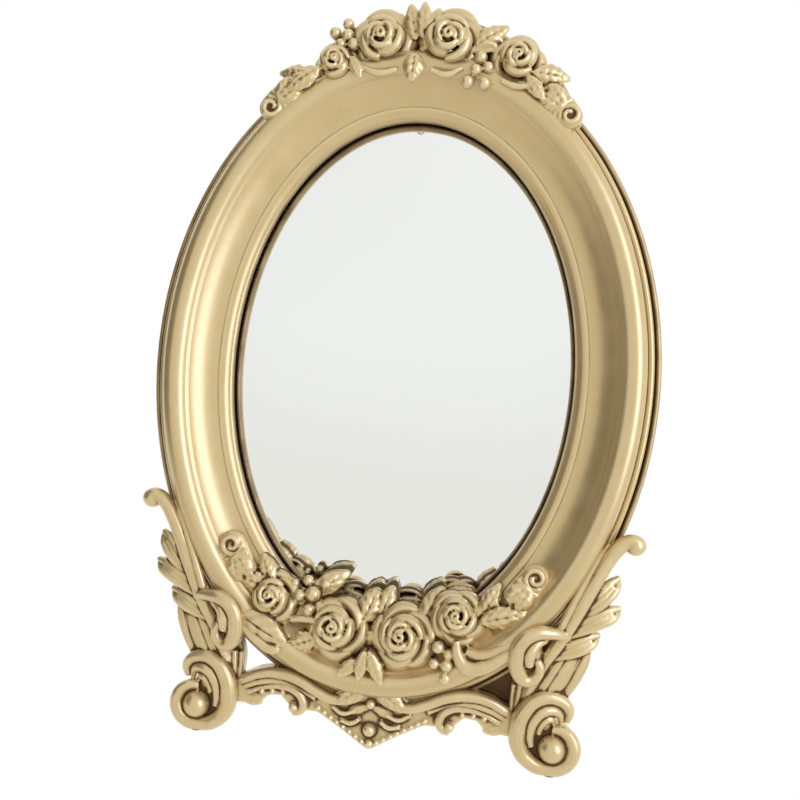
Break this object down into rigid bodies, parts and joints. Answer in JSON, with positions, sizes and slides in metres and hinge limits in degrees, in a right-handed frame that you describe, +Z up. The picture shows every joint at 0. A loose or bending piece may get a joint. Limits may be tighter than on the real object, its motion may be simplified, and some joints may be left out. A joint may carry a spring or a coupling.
{
  "type": "table mirror",
  "caption": "Oval mirror in a gold moulded frame with rose garlands, standing on two scroll feet and a rear leg that folds flat.",
  "frame": {"origin": "middle of the bounding box, on the surface that the mirror stands on", "axes": "+Z up, -Y the way the mirror faces, +X to the right as one looks into it"},
  "size_m": [0.19, 0.1127, 0.2683],
  "materials": {
    "gold_finish": "cast resin painted satin champagne gold, with brown antique colour in the recesses",
    "silvered_glass": "flat float glass silvered on the back",
    "grey_board": "plain soft board",
    "brown_board": "fibreboard painted matt dark brown",
    "zinc_steel": "zinc-plated steel",
    "dark_rubber": "matt black rubber"
  },
  "bodies": {
    "mirror": {"front_frame": "gold_finish", "crest_garland": "gold_finish", "lower_garland": "gold_finish", "apron": "gold_finish", "left_scroll_foot": "gold_finish", "right_scroll_foot": "gold_finish", "mirror_glass": "silvered_glass", "backing_pad": "grey_board", "rear_cover": "brown_board", "cover_screw_1": "zinc_steel", "cover_screw_2": "zinc_steel", "cover_screw_3": "zinc_steel", "cover_screw_4": "zinc_steel", "cover_screw_5": "zinc_steel", "cover_screw_6": "zinc_steel", "hinge_bracket": "zinc_steel", "hinge_screw_1": "zinc_steel", "hinge_screw_2": "zinc_steel", "hinge_screw_3": "zinc_steel", "hinge_screw_4": "zinc_steel", "hinge_pin": "zinc_steel", "foot_pad_left": "dark_rubber", "foot_pad_right": "dark_rubber"},
    "leg": {"easel_leg": "brown_board", "leg_pad": "dark_rubber"}
  },
  "joints": [
    {"name": "leg_fold", "type": "hinge", "parent": "mirror", "child": "leg", "pos_m": [0, 0.0113, 0.15746], "axis": [-1, 0, 0], "range_deg": [0, 30]}
  ]
}
